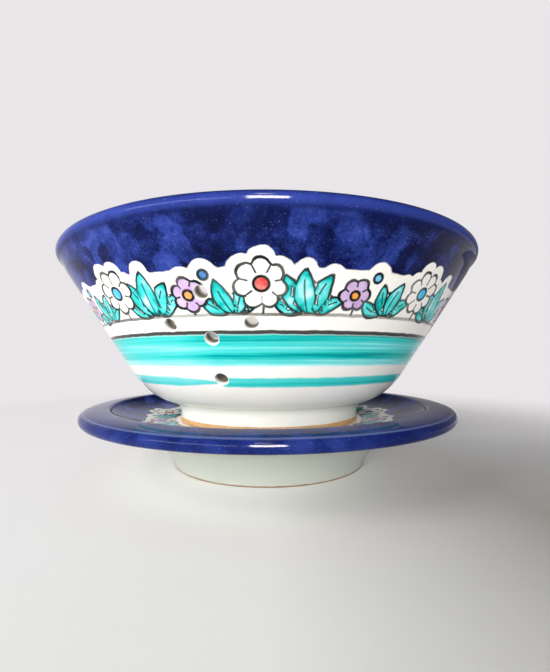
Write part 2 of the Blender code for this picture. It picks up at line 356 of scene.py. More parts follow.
# The size in millimetres of each pattern's marks, then how the banding brush pulls its streaks out, in
# marks a metre, and how far the dabs sway in millimetres
MARK_SIZES = {
    "tremor": 6.0, "press": 11.0, "cloud": 30.0, "streak": 1.6, "leaf": 7.0, "lilac": 4.0, "heart": 3.0,
    "coat": 42.0, "stroke": 11.5, "sway": 7.0, "dab": 6.5, "speck": 1.0, "pinhole": 0.45, "fading": 45.0,
    "clay": 2.5, "grit": 0.8, "swell": 16.0,
}
STREAK_PULL, DAB_SWAY = 9.0, 4.0
# The garland: places are parts of one repeat, and lengths are in millimetres on the bowl. Each spray has
# its place, its count of leaves and the length of the longest.
PETAL_HUES = ("#D73228", "#F5A03C", "#3CB4E6", "#F5A03C", "#1E6EB4", "#D73228", "#3CB4E6")
SPRAYS = ((0.26, 5, 19.0), (0.77, 4, 16.0))
SPRAY_FAN, SPRAY_FAN_STRAY, SPRAY_ROOT, SPRAY_RISE, SPRAY_SHORTER = 1.05, 0.12, 2.5, 0.6, 0.22
LEAF_WIDTH, LEAF_LENGTHS, LEAF_CURL, LEAF_CURL_RATE, LEAF_OVERLAP = 0.46, (0.92, 1.08), 1.2, 2.6, 0.9
VEIN_PART, REPEAT_STRAY = 0.78, 0.05
BERRY_PLACE, BERRY_RISE, BERRY_RADIUS = 0.63, 16.5, 2.0
WHITE_BLOSSOM_RISE, WHITE_BLOSSOM_SIZES = 12.5, (9.6, 10.8)
LILAC_BLOSSOM_PLACE, LILAC_BLOSSOM_RISE, LILAC_BLOSSOM_SIZES = 0.52, 8.6, (6.6, 7.6)
PETAL_NOTCH, PETAL_TIP, PETAL_LINE_FROM, HEART_PART, PETAL_UNEVEN = 0.70, 0.30, 0.40, 0.29, 0.05
PETAL_ROUND, LEAF_ROUND = 0.55, 0.8
STEM_REACH, STEM_WAVE, STEM_WAVE_RUN = 3, 0.9, 5
BLOSSOM_CLAIM, HEART_CLAIM, BERRY_CLAIM = 1.5, 2.0, 1.5


def garland(turn, radius, rise, repeats, scale, draw):
    """The distances, in millimetres, from which the brush lines and washes of the garland are painted.

    Blossoms of two sizes stand in turn on the ground line, with a spray of leaves between each two.
    A distance below zero lies inside the shape that it is named for.
    """
    shapes = ("flower", "petal", "heart", "leaf", "vein", "stem")
    fields = {name: np.full(len(turn), FAR) for name in shapes}
    fields["wash"] = np.zeros(len(turn))
    hue = np.tile(linear(PETAL_HUES[1]), (len(turn), 1))

    def spot(at_turn, at_rise):
        around = (turn - at_turn + np.pi) % (2 * np.pi) - np.pi
        return around * radius, rise - at_rise

    def leaf(at_turn, at_rise, lean, length, width):
        x, y = spot(at_turn, at_rise)
        ahead = x * math.sin(lean) + y * math.cos(lean)
        curl = LEAF_CURL * np.sin(ahead / length * LEAF_CURL_RATE)
        aside = x * math.cos(lean) - y * math.sin(lean) + curl
        part = np.clip(ahead / length, 0, 1)
        half = width / 2 * np.sin(np.pi * part**LEAF_ROUND) ** LEAF_ROUND
        past = np.maximum(-ahead, 0) + np.maximum(ahead - length, 0)
        gap = np.where(past > 0, np.hypot(past, aside), np.abs(aside) - half)
        on_top = gap < LEAF_OVERLAP
        fields["leaf"] = np.where(on_top, gap, np.minimum(fields["leaf"], gap))
        veined = on_top & (ahead < length * VEIN_PART)
        fields["vein"] = np.where(veined, aside, np.where(on_top, FAR, fields["vein"]))

    def blossom(at_turn, at_rise, size, petals, colour, washed):
        x, y = spot(at_turn, at_rise)
        out, angle = np.hypot(x, y), np.arctan2(x, y)
        phase = draw.uniform(0, np.pi)
        swing = petals * angle / 2 + phase
        reach = size * (PETAL_NOTCH + PETAL_TIP * np.abs(np.cos(swing)) ** PETAL_ROUND)
        gap = out - reach * (1 + PETAL_UNEVEN * np.sin(angle + phase))
        fields["flower"] = np.minimum(fields["flower"], gap)
        mine = gap < BLOSSOM_CLAIM
        parting = np.cos(swing) * out * 2 / petals
        fields["petal"][mine] = np.where(out > PETAL_LINE_FROM * size, parting, FAR)[mine]
        fields["wash"][mine] = washed
        core = out - HEART_PART * size
        fields["heart"] = np.minimum(fields["heart"], core)
        hue[core < HEART_CLAIM] = linear(colour)
        under = (rise > 0) & (rise < at_rise)
        stem = x + STEM_WAVE * np.sin(y / STEM_WAVE_RUN)
        fields["stem"] = np.where(under & (np.abs(x) < STEM_REACH), stem, fields["stem"])

    def berry(at_turn, at_rise, size, colour):
        x, y = spot(at_turn, at_rise)
        gap = np.hypot(x, y) - size
        fields["heart"] = np.minimum(fields["heart"], gap)
        hue[gap < BERRY_CLAIM] = linear(colour)

    pitch = 2 * np.pi / repeats
    for i in range(repeats):
        first = i * pitch + draw.uniform(-REPEAT_STRAY, REPEAT_STRAY) * pitch
        colours = [PETAL_HUES[(2 * i + k) % len(PETAL_HUES)] for k in range(3)]
        for part, count, reach in SPRAYS:
            at = first + part * pitch
            strays = draw.uniform(-SPRAY_FAN_STRAY, SPRAY_FAN_STRAY, count)
            leans = np.linspace(-SPRAY_FAN, SPRAY_FAN, count) + strays
            for lean in sorted(leans, key=abs, reverse=True):
                long = scale * reach * (1 - SPRAY_SHORTER * abs(lean)) * draw.uniform(*LEAF_LENGTHS)
                root = at + lean * SPRAY_ROOT * scale / radius.max()
                leaf(root, SPRAY_RISE, lean, long, LEAF_WIDTH * long)
        berry(first + BERRY_PLACE * pitch, scale * BERRY_RISE, scale * BERRY_RADIUS, colours[2])
        size = scale * draw.uniform(*WHITE_BLOSSOM_SIZES)
        blossom(first, scale * WHITE_BLOSSOM_RISE, size, 7 + i % 2, colours[0], 0.0)
        size = scale * draw.uniform(*LILAC_BLOSSOM_SIZES)
        at = first + LILAC_BLOSSOM_PLACE * pitch
        blossom(at, scale * LILAC_BLOSSOM_RISE, size, 6, colours[1], 1.0)
    return fields, hue


def nearest_motif(fields):
    """The distance to the nearest blossom, leaf, heart or berry of the garland."""
    return np.minimum(fields["flower"], np.minimum(fields["leaf"], fields["heart"]))


def painted(piece, fields, hue):
    """Keeps the painting's distances on a piece, one attribute for each."""
    for name, values in fields.items():
        kept = piece.data.attributes.new(name, "FLOAT", "POINT")
        kept.data.foreach_set("value", np.ascontiguousarray(values, np.float32))
    kept = piece.data.attributes.new("hue", "FLOAT_COLOR", "POINT")
    kept.data.foreach_set("color", np.ascontiguousarray(hue, np.float32).ravel())


def glaze_over_paint():
    """Tin glaze over buff earthenware, painted with oxides and fired glossy.

    The eye gets a milky white with a wet shine, cobalt that clouds from ink to bright blue with a fine
    grain and pale pinholes, copper teal that shows the hairs of the banding brush, and matt clay where the
    glaze was wiped off.
    """
    material = bpy.data.materials.new("painted_tin_glaze")
    material.use_nodes = True
    tree = material.node_tree
    shader = tree.nodes["Principled BSDF"]
    lay = partial(add, tree)
    times, most, less = ({"operation": kind} for kind in ("MULTIPLY", "MAXIMUM", "SUBTRACT"))
    scaled = {"operation": "MULTIPLY_ADD"}
    place = lay("TexCoord", out="Object")
    marks = {name: 1000 / size for name, size in MARK_SIZES.items()}

    def area(distance, blur=0.22):
        """One inside a brushed shape and nought outside it, from its distance in millimetres."""
        return lay("MapRange", distance, blur, -blur, 0.0, 1.0)

    def line(distance, half, blur=0.2):
        """One on a brush line, from the signed distance across it in millimetres."""
        off = lay("Math", distance, operation="ABSOLUTE")
        return area(lay("Math", off, half, **less), blur)

    # The hand's tremor moves each brushed edge, and its pressure thickens and thins the lines
    tremor = lay("TexNoise", place, None, marks["tremor"], 2.0)
    tremor = lay("Math", tremor, TREMOR_SWING, -TREMOR_SWING / 2, **scaled)
    press = lay("TexNoise", place, None, marks["press"], 1.0)
    press = lay("Math", press, *LINE_PRESS, **scaled)
    kept = {name: lay("Attribute", out="Fac", attribute_name=name) for name in PAINT_MARKS}
    moved = {name: lay("Math", tremor, sway, kept[name], **scaled) for name, sway in BRUSH_TREMOR.items()}

    # The white clouds slightly, and greys on the plate's underside as painted shade under its lip
    cloudy = lay("TexNoise", place, None, marks["cloud"], 3.0)
    white = lay("MixRGB", cloudy, linear("#F7F7F3"), linear("#EFEEE8"))
    colour = lay("MixRGB", kept["under"], white, linear("#B0B6AF"))

    # Copper teal, banded on the wheel: the brush leaves streaks of 1 to 2 mm, and thins and fills again
    # once round. The stripe below tapers where the brush was lifted. On a leaf the teal pools at its edge.
    streak_place = lay("Mapping", place, named={"Scale": (STREAK_PULL, STREAK_PULL, marks["streak"])})
    streak = lay("TexNoise", streak_place, None, 1.0, 3.0, 0.6)
    band_part = lay("MapRange", moved["height"], BAND_LOW, BAND_HIGH, 0.0, 1.0)
    load = lay("ValToRGB", band_part, stops=[(at, (dark, dark, dark, 1)) for at, dark in BAND_LOADS])
    load = lay("Math", load, lay("Math", streak, *BAND_STREAK, **scaled), operation="ADD")
    teal_stops = [(at, linear(shade)) for at, shade in TEALS]
    teal = lay("ValToRGB", lay("Math", load, kept["fill"], **times), stops=teal_stops)
    across = lay("Math", moved["height"], (BAND_LOW + BAND_HIGH) / 2, **less)
    colour = lay("MixRGB", line(across, (BAND_HIGH - BAND_LOW) / 2, 0.5), colour, teal)
    stripe_half = lay("MapRange", kept["lap"], *STRIPE_TAPER, STRIPE_HALF, STRIPE_TIP_HALF)
    across = lay("Math", lay("Math", moved["height"], STRIPE_HEIGHT, **less), operation="ABSOLUTE")
    in_stripe = area(lay("Math", across, stripe_half, **less), 0.35)
    load = lay("Math", lay("Math", streak, *STRIPE_STREAK, **scaled), kept["fill"], **times)
    colour = lay("MixRGB", in_stripe, colour, lay("ValToRGB", load, stops=teal_stops))
    in_flower = area(moved["flower"])
    off_flower = lay("Math", 1.0, in_flower, **less)
    in_leaf = lay("Math", area(moved["leaf"]), off_flower, **times)
    pooled = lay("Math", line(moved["leaf"], 1.3, 0.9), *LEAF_POOL, **scaled)
    load = lay("Math", lay("TexNoise", place, None, marks["leaf"], 2.0), *LEAF_CLOUD, **scaled)
    load = lay("Math", load, pooled, operation="ADD")
    colour = lay("MixRGB", in_leaf, colour, lay("ValToRGB", load, stops=teal_stops))

    # Thin lilac on the small petals, and strong hearts and berries that still let the white through
    thin = lay("Math", lay("TexNoise", place, None, marks["lilac"], 2.0), *LILAC_WASH, **scaled)
    washed = lay("Math", lay("Math", in_flower, kept["wash"], **times), thin, **times)
    colour = lay("MixRGB", washed, colour, linear("#B996CD"))
    thick = lay("Math", lay("TexNoise", place, None, marks["heart"], 2.0), *HEART_WASH, **scaled)
    hue = lay("Attribute", out="Color", attribute_name="hue")
    colour = lay("MixRGB", lay("Math", area(kept["heart"]), thick, **times), colour, hue)

    # Cobalt dabbed on with a full brush: strokes of about 12 mm and upright dabs of half that, with a fine
    # grain, in a coat made paler to the left by painted light and darker to the right by painted shade. It
    # is one even blue on the rolled edges, darker on the plate's as painted shade, pale on the plate lip's
    # top edge where the glaze breaks and a painted highlight runs, and has pale pinholes of about half a
    # millimetre.
    coat = lay("Math", lay("TexNoise", place, None, marks["coat"], 1.0), COAT_SHARE, **times)
    # Painted light and shade: the cobalt is paler to the left and darker to the right
    rightward = lay("SeparateXYZ", place, out="X")
    side_light_and_shade = lay("MapRange", rightward, *SIDE_LIGHT_LEFT_TO_RIGHT, PAINTED_LIGHT_LEFT_PALER, PAINTED_SHADE_RIGHT_DARKER)
    coat = lay("Math", coat, side_light_and_shade, operation="ADD")
    sideways = lay("Mapping", place, named={"Scale": (1.0, 1.0, 1.3)})
    strokes = lay("TexNoise", sideways, None, marks["stroke"], 3.0, 0.55, named={"Distortion": 0.2})
    coat = lay("Math", strokes, STROKE_SHARE, coat, **scaled)
    speck = lay("TexNoise", place, None, marks["speck"], 2.0)
    coat = lay("Math", coat, lay("Math", speck, SPECK_SHARE, -SPECK_SHARE / 2, **scaled), operation="ADD")
    swayed = lay("TexNoise", place, None, marks["sway"], 2.0, out="Color")
    swayed = lay("VectorMath", swayed, (DAB_SWAY * MM,) * 3, place, operation="MULTIPLY_ADD")
    upright = lay("Mapping", swayed, named={"Scale": (1.0, 1.0, 0.6)})
    dab = lay(
        "TexVoronoi", upright, None, marks["dab"], named={"Smoothness": 0.3},
        feature="SMOOTH_F1", out="Color",
    )
    coat = lay("Math", dab, DAB_SHARE, coat, **scaled)
    cobalt = lay("ValToRGB", coat, stops=[(at, linear(shade)) for at, shade in COBALTS])
    even = lay("ValToRGB", kept["thin"], stops=[(at, linear(shade)) for at, shade in EVEN_BLUES])
    # Painted shade: the plate's even blue is darker than that on the bowl's rim
    cobalt = lay("MixRGB", lay("MapRange", kept["thin"], 0.0, 0.6, 0.0, 0.85), cobalt, even)
    # Pale on the plate lip's top edge: glaze breaking there, and a painted highlight
    cobalt = lay("MixRGB", lay("Math", kept["edge"], 0.4, **times), cobalt, linear("#8C98CE"))
    pinhole = lay("TexNoise", place, None, marks["pinhole"], 1.0)
    pinhole = lay("MapRange", pinhole, *PINHOLE_SPAN, 0.0, PINHOLE_PALE)
    cobalt = lay("MixRGB", pinhole, cobalt, linear("#A9B2EE"))
    in_cobalt = area(lay("Math", tremor, kept["cobalt"], **less), 0.3)
    colour = lay("MixRGB", in_cobalt, colour, cobalt)

    # Manganese line work, drawn with a thin brush that runs dry in places
    drawn = {name: line(moved.get(name, kept[name]), half) for name, half in INK_HALVES.items()}
    ink = lay("Math", drawn["flower"], lay("Math", in_flower, drawn["petal"], **times), **most)
    ink = lay("Math", ink, drawn["heart"], **most)
    sprays = lay("Math", drawn["leaf"], drawn["stem"], **most)
    ink = lay("Math", ink, lay("Math", off_flower, sprays, **times), **most)
    ink = lay("Math", ink, lay("Math", in_leaf, drawn["vein"], **times), **most)
    colour = lay("MixRGB", lay("Math", ink, press, **times), colour, linear("#171C1B"))
    black_line = line(lay("Math", moved["height"], BLACK_LINE_HEIGHT, **less), BLACK_LINE_HALF)
    colour = lay("MixRGB", lay("Math", black_line, 0.95, **times), colour, linear("#151B1A"))
    grey_line = line(lay("Math", moved["height"], GREY_LINE_HEIGHT, **less), GREY_LINE_HALF)
    fading = lay("Math", lay("TexNoise", place, None, marks["fading"], 2.0), *LINE_FADING, **scaled)
    colour = lay("MixRGB", lay("Math", grey_line, fading, **times), colour, linear("#4C4D49"))

    # Paint is wiped off each drain's edge, and its white wall darkens inward to brown-grey, painted shade
    # deep in the bore. Foot rings are wiped to the clay, which is darker under the plate as painted shade.
    colour = lay("MixRGB", area(moved["drain"], 0.3), colour, white)
    # Painted shade darkens each bore's wall inward
    bore_shade = lay("MapRange", kept["deep"], *BORE_SHADE_SPAN, 0.0, BORE_PAINTED_SHADE)
    colour = lay("MixRGB", bore_shade, colour, linear("#5E5348"))
    bare = area(moved["clay"], 0.25)
    grain = lay("TexNoise", place, None, marks["clay"], 3.0, 0.7)
    clay = lay("MixRGB", grain, linear("#C98F4E"), linear("#E6C190"))
    # Painted shade: the bare foot under the plate is darker brown where it stands on the table
    colour = lay("MixRGB", bare, colour, lay("MixRGB", kept["under"], clay, linear("#8A6C50")))

    tree.links.new(colour, shader.inputs["Base Color"])
    rough = lay("Math", bare, CLAY_ROUGHER, GLAZE_ROUGHNESS, **scaled)
    tree.links.new(rough, shader.inputs["Roughness"])
    shader.inputs["IOR"].default_value = GLAZE_IOR
    shader.inputs["Specular IOR Level"].default_value = GLAZE_SPECULAR
    grit = lay("Math", lay("TexNoise", place, None, marks["grit"], 2.0), bare, **times)
    swell = lay("Math", grit, GRIT_SHARE, lay("TexNoise", place, None, marks["swell"], 1.0), **scaled)
    relief = lay(
        "Bump", named={"Strength": RELIEF_STRENGTH, "Distance": RELIEF_HEIGHT * MM, "Height": swell},
    )
    tree.links.new(relief, shader.inputs["Normal"])
    return material


painted_tin_glaze = glaze_over_paint()

plate_floor_edge = (PLATE_FLOOR_RADIUS, PLATE_FLOOR_TOP)
plate_well_top = (PLATE_RIM_EDGE, PLATE_HEIGHT - PLATE_RIM_ROUND)
plate_rim_start = (PLATE_RIM_EDGE + PLATE_RIM_ROUND, PLATE_HEIGHT)
plate_rim_crown = (PLATE_RIM_CROWN, PLATE_HEIGHT)
plate_lip_out = PLATE_RADIUS - PLATE_LIP
plate_lip_start = plate_lip_out + PLATE_LIP * math.sin(PLATE_RIM_FALL)
plate_lip_drop = (plate_lip_start - PLATE_RIM_CROWN) * math.tan(PLATE_RIM_FALL)
plate_lip_middle = (plate_lip_out, PLATE_HEIGHT - plate_lip_drop - PLATE_LIP * math.cos(PLATE_RIM_FALL))
plate_lip = roll(plate_lip_middle, PLATE_LIP, math.pi / 2 - PLATE_RIM_FALL, PLATE_LIP_TUCK)
plate_lip_under = (plate_lip_out, plate_lip[-1][1])
plate_foot_side = (PLATE_FOOT_RADIUS, EDGE_ROUND)
plate_foot_under = (PLATE_FOOT_RADIUS - EDGE_ROUND, 0.0)
plate_foot_inner = PLATE_FOOT_RADIUS - PLATE_FOOT_WIDTH
plate_recess_top = PLATE_FLOOR_TOP - PLATE_FLOOR
plate_well_corner = (PLATE_FLOOR_RADIUS + PLATE_WELL_REACH, PLATE_FLOOR_TOP)
plate_under_corner = (PLATE_FOOT_RADIUS + PLATE_FOOT_FLARE, plate_lip_under[1] - PLATE_UNDER_DROP)
plate_foot_turn = (plate_foot_inner + EDGE_ROUND, 0)
plate_foot_inside = (plate_foot_inner, EDGE_ROUND)
plate_recess_side = (plate_foot_inner, plate_recess_top - PLATE_RECESS_FILLET)
plate_recess_edge = (plate_foot_inner - PLATE_RECESS_FILLET, plate_recess_top)
# Each stretch of the profile, with the length of its steps in millimetres
plate_profile = np.concatenate([
    spaced([(0, PLATE_FLOOR_TOP), plate_floor_edge], 4.0),
    spaced(bend(plate_floor_edge, plate_well_corner, plate_well_top), 1.1),
    spaced(bend(plate_well_top, (PLATE_RIM_EDGE, PLATE_HEIGHT), plate_rim_start), 0.5),
    spaced(bend(plate_rim_start, plate_rim_crown, plate_lip[0]), 1.0),
    spaced(plate_lip, 0.7),
    spaced([plate_lip[-1], plate_lip_under], 0.8),
    spaced(bend(plate_lip_under, plate_under_corner, plate_foot_side), 2.5),
    spaced(bend(plate_foot_side, (PLATE_FOOT_RADIUS, 0), plate_foot_under), 0.3),
    spaced([plate_foot_under, plate_foot_turn], 1.5),
    spaced(bend(plate_foot_turn, (plate_foot_inner, 0), plate_foot_inside), 0.3),
    spaced([plate_foot_inside, plate_recess_side], 3.0),
    spaced(bend(plate_recess_side, (plate_foot_inner, plate_recess_top), plate_recess_edge), 0.7),
    spaced([plate_recess_edge, (0, plate_recess_top)], 5.0),
    [(0, plate_recess_top)],
])
plate = turned("glazed_drip_plate", plate_profile, PLATE_STEPS, painted_tin_glaze)
plate_draw = np.random.default_rng(PLATE_SEED)
turn, radius, along = unrolled(plate.data, plate_profile)
rise = along - run_to(plate_profile, plate_floor_edge)
fields, hue = garland(turn, radius, rise, PLATE_REPEATS, PLATE_MOTIF_SCALE, plate_draw)
cobalt_end = run_to(plate_profile, plate_lip_under) - PLATE_COBALT_UNDER
clear_of_motif = nearest_motif(fields) - PLATE_COBALT_MARGIN
fields["cobalt"] = np.minimum(np.minimum(rise - PLATE_COBALT_RISE, clear_of_motif), cobalt_end - along)
foot_from, foot_to = (run_to(plate_profile, spot) for spot in (plate_foot_side, plate_foot_inside))
fields["clay"] = past_strip(along, foot_from, foot_to)
# Painted highlight: a pale line along the lip's top edge, where the glaze also breaks
lip_run = run_to(plate_profile, plate_lip[0])
fields["edge"] = np.exp(-(((along - lip_run) / PLATE_EDGE_BREAK_AND_HIGHLIGHT) ** 2))
rim_run = run_to(plate_profile, plate_rim_start)
# Painted shade: the plate's rim, lip and underside take the darker half of the even blue
fields["thin"] = PLATE_SHADED_EVEN_BLUE * np.clip((along - rim_run) / PLATE_EVEN_RUN + 1, 0, 1)
# Painted shade: past the cobalt, the plate's underside greys and its bare foot darkens
fields["under"] = np.clip((along - cobalt_end) / PLATE_SHADE_RUN, 0, 1)
# Of the bowl's lines the plate has only the grey one, as the ground that its garland stands on
fields["height"] = np.maximum(GREY_LINE_HEIGHT + rise, BELOW_GREY_LINE)
plain = np.zeros(len(turn))
fields.update(lap=plain + 0.5, fill=plain + 1, drain=plain + FAR, deep=plain)
painted(plate, fields, hue)
thrown(plate.data, PLATE_FLOOR_TOP, plate_draw)
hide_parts("drip_plate")
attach(plate, "drip_plate")


# Bowl: a wide thrown bowl of the same earthenware, with a rolled rim, a straight flaring wall and a belly
# that tucks in to a turned foot. Drain holes were bored through the wall and floor while the clay was
# leather hard. It stands loose in the plate's well, on a foot ring wiped bare of glaze.
BOWL_SEAT = 25.3
BOWL_RIM_RADIUS, BOWL_HEIGHT, BOWL_RIM_BEAD, BOWL_WALL = 120.0, 94.0, 3.6, 6.0
BOWL_BELLY = np.array((82.3, 30.0))
BOWL_BELLY_DROP, BOWL_INSIDE_BELLY_HEIGHT = 3.5, 50.0
BOWL_FLOOR_TOP, BOWL_FLOOR, BOWL_FLOOR_RADIUS, BOWL_FOOT_RECESS = 11.0, 7.0, 22.0, 4.0
BOWL_FOOT_RADIUS, BOWL_FOOT_HEIGHT, BOWL_FOOT_FILLET, BOWL_FOOT_WIDTH = 54.5, 12.0, 6.5, 9.0
BOWL_RECESS_FILLET, BOWL_FINE_ABOVE, BOWL_STEPS = 3, 52.0, 512
RIM_CREASE_TURN = math.radians(-50)
RIM_BEAD_END, RIM_HOLLOW, RIM_HOLLOW_FOOT = math.radians(-42), 0.7, 82.0
BOWL_SEED, BOWL_REPEATS, BOWL_MOTIF_SCALE = 11, 9, 1.0
BOWL_COBALT_RISE, BOWL_COBALT_MARGIN = 19.0, 4.2
INNER_COBALT_RUN, INNER_COBALT_WAVE, INNER_COBALT_WAVES = 9.0, 2.5, (11, 17, 29)
BARE_FOOT_HEIGHT, EVEN_BLUE_RUN = 2.6, 3.6
BAND_FILL, BAND_SPENT, BAND_SPENT_FROM, BAND_SPENT_OVER, BAND_REFILL_OVER = 1.08, 0.26, 0.3, 0.6, 0.03
DRAIN_RADIUS, DRAIN_EDGE_ROUND, DRAIN_WIPED, DRAIN_SLACK, DRAIN_NEAR = 2.85, 0.4, 0.35, 0.2, (9, 20)
CUTTER_STEPS, CUTTER_CLEAR, CUTTER_LEDGE, CUTTER_ABOVE, CUTTER_BELOW, DRAIN_WELD = 36, 0.4, 0.1, 3, 4, 0.003
DRAIN_GROUPS = 3
DRAIN_FIRST_GROUP, DRAIN_ARM_ANGLE = math.radians(-14.6), math.radians(10.6)
DRAIN_TOP_HEIGHT, DRAIN_ARM_HEIGHT, DRAIN_CENTRE_HEIGHT, DRAIN_BOTTOM_HEIGHT = 61.9, 50.6, 44.9, 27.8
FLOOR_DRAINS, FLOOR_DRAIN_CIRCLE = 6, 18.0

bead_centre = np.array((BOWL_RIM_RADIUS - BOWL_RIM_BEAD, BOWL_HEIGHT - BOWL_RIM_BEAD))
rim_crease = bead_centre + BOWL_RIM_BEAD * np.array((math.cos(RIM_CREASE_TURN), math.sin(RIM_CREASE_TURN)))
wall_along = (rim_crease - BOWL_BELLY) / np.linalg.norm(rim_crease - BOWL_BELLY)
wall_inward = np.array((-wall_along[1], wall_along[0]))


def on_wall_line(start, height):
    """The point at a height on a line through start that runs with the straight wall."""
    return start + wall_along * (height - start[1]) / wall_along[1]


inner_belly = on_wall_line(BOWL_BELLY + BOWL_WALL * wall_inward, BOWL_INSIDE_BELLY_HEIGHT)
belly_corner = on_wall_line(BOWL_BELLY, BOWL_FOOT_HEIGHT + BOWL_BELLY_DROP)
foot_top = np.array((BOWL_FOOT_RADIUS + BOWL_FOOT_FILLET, BOWL_FOOT_HEIGHT))
belly_slope = (belly_corner[1] - foot_top[1]) / (belly_corner[0] - foot_top[0])
foot_corner = foot_top - BOWL_FOOT_FILLET * np.array((1, belly_slope))
foot_neck = (BOWL_FOOT_RADIUS, BOWL_FOOT_HEIGHT - BOWL_FOOT_FILLET)
foot_inner = BOWL_FOOT_RADIUS - BOWL_FOOT_WIDTH
reach = bead_centre - inner_belly
inner_rise = math.atan2(reach[1], reach[0]) + math.asin(BOWL_RIM_BEAD / np.linalg.norm(reach))
bead = roll(bead_centre, BOWL_RIM_BEAD, inner_rise + math.pi / 2, RIM_BEAD_END)
rim_hollow = rim_crease + RIM_HOLLOW * wall_inward
wall_top = on_wall_line(BOWL_BELLY, RIM_HOLLOW_FOOT)
inner_corner = on_wall_line(inner_belly, BOWL_FLOOR_TOP)
floor_edge = (BOWL_FLOOR_RADIUS, BOWL_FLOOR_TOP)
inner_bend = bend(floor_edge, inner_corner, inner_belly, 60)
fine_from = on_wall_line(BOWL_BELLY, BOWL_FINE_ABOVE)
foot_side, foot_under = (BOWL_FOOT_RADIUS, EDGE_ROUND), (BOWL_FOOT_RADIUS - EDGE_ROUND, 0)
foot_turn, foot_inside = (foot_inner + EDGE_ROUND, 0), (foot_inner, EDGE_ROUND)
recess_edge = (foot_inner - BOWL_RECESS_FILLET, BOWL_FOOT_RECESS)
bowl_profile = np.concatenate([
    spaced([(0, BOWL_FLOOR_TOP), floor_edge], 5.0),
    spaced(inner_bend, 4.0),
    spaced([inner_belly, bead[0]], 3.0),
    spaced(bead, 0.9),
    spaced(bend(bead[-1], rim_hollow, wall_top), 0.7),
    spaced([wall_top, fine_from], 1.1),
    spaced([fine_from, BOWL_BELLY], 2.5),
    spaced(bend(BOWL_BELLY, belly_corner, foot_top), 2.5),
    spaced(bend(foot_top, foot_corner, foot_neck), 0.8),
    spaced([foot_neck, foot_side], 0.9),
    spaced(bend(foot_side, (BOWL_FOOT_RADIUS, 0), foot_under), 0.3),
    spaced([foot_under, foot_turn], 2.0),
    spaced(bend(foot_turn, (foot_inner, 0), foot_inside), 0.3),
    spaced(bend(foot_inside, (foot_inner, BOWL_FOOT_RECESS), recess_edge), 0.8),
    spaced([recess_edge, (0, BOWL_FOOT_RECESS)], 5.0),
    [(0, BOWL_FOOT_RECESS)],
]) + (0, BOWL_SEAT)
plain_bowl = turned("plain_bowl", bowl_profile, BOWL_STEPS, painted_tin_glaze)


def wall_spot(height):
    """The outer wall's point and outward normal at a height above the foot."""
    wall = np.concatenate([bend(foot_top, belly_corner, BOWL_BELLY, 200), [rim_crease]])
    above = np.searchsorted(wall[:, 1], height)
    low, high = wall[above - 1], wall[above]
    point = low + (high - low) * (height - low[1]) / (high[1] - low[1])
    normal = np.array((high[1] - low[1], low[0] - high[0]))
    return point, normal / np.linalg.norm(normal)


def drill_tree():
    """Bores a cutter's form out of the clay at each point of a mesh, along its bore and to its depth."""
    tree = bpy.data.node_groups.new("drain_drill", "GeometryNodeTree")
    for name, kind in (
        ("Clay", "NodeSocketGeometry"),
        ("Places", "NodeSocketObject"),
        ("Cutter", "NodeSocketObject"),
        ("Glaze", "NodeSocketMaterial"),
    ):
        tree.interface.new_socket(name, in_out="INPUT", socket_type=kind)
    tree.interface.new_socket("Geometry", in_out="OUTPUT", socket_type="NodeSocketGeometry")
    given = tree.nodes.new("NodeGroupInput").outputs
    places = add(tree, "ObjectInfo", given["Places"], out="Geometry")
    cutter = add(tree, "ObjectInfo", given["Cutter"], out="Geometry")
    bore = add(tree, "InputNamedAttribute", "bore", data_type="FLOAT_VECTOR")
    aim = add(tree, "FunctionNodeAlignRotationToVector", named={"Vector": bore}, axis="Z")
    stretch = add(tree, "InputNamedAttribute", "stretch", data_type="FLOAT_VECTOR")
    cutters = add(
        tree, "InstanceOnPoints",
        named={"Points": places, "Instance": cutter, "Rotation": aim, "Scale": stretch},
    )
    cutters = add(tree, "RealizeInstances", cutters)
    clay = add(
        tree, "MeshBoolean", operation="DIFFERENCE", solver="EXACT",
        named={"Mesh 1": given["Clay"], "Mesh 2": cutters},
    )
    clay = add(tree, "MergeByDistance", named={"Geometry": clay, "Distance": DRAIN_WELD * MM})
    clay = add(tree, "SetShadeSmooth", named={"Geometry": clay, "Shade Smooth": True})
    clay = add(tree, "RealizeInstances", clay)
    clay = add(tree, "SetMaterial", named={"Geometry": clay, "Material": given["Glaze"]})
    tree.links.new(clay, tree.nodes.new("NodeGroupOutput").inputs[0])
    return tree


drain_places, drain_bores, drain_depths = [], [], []
inner_line = np.concatenate([inner_bend, spaced([inner_belly, bead[0]], 0.5)])
for number in range(DRAIN_GROUPS):
    middle = DRAIN_FIRST_GROUP + 2 * math.pi * number / DRAIN_GROUPS
    for aside, height in (
        (0.0, DRAIN_TOP_HEIGHT), (-DRAIN_ARM_ANGLE, DRAIN_ARM_HEIGHT), (DRAIN_ARM_ANGLE, DRAIN_ARM_HEIGHT),
        (0.0, DRAIN_CENTRE_HEIGHT), (0.0, DRAIN_BOTTOM_HEIGHT),
    ):
        (out, up), (normal_out, normal_up) = wall_spot(height)
        drain_depths.append(np.linalg.norm(inner_line - (out, up), axis=1).min())
        x, y = math.sin(middle + aside), -math.cos(middle + aside)
        drain_places.append((out * x, out * y, up + BOWL_SEAT))
        drain_bores.append((normal_out * x, normal_out * y, normal_up))
for number in range(FLOOR_DRAINS + 1):
    out = FLOOR_DRAIN_CIRCLE if number else 0.0
    middle = 2 * math.pi * number / FLOOR_DRAINS
    drain_places.append((out * math.cos(middle), out * math.sin(middle), BOWL_FLOOR_TOP + BOWL_SEAT))
    drain_bores.append((0, 0, 1))
    drain_depths.append(BOWL_FLOOR)
drain_places, drain_bores = np.array(drain_places), np.array(drain_bores)

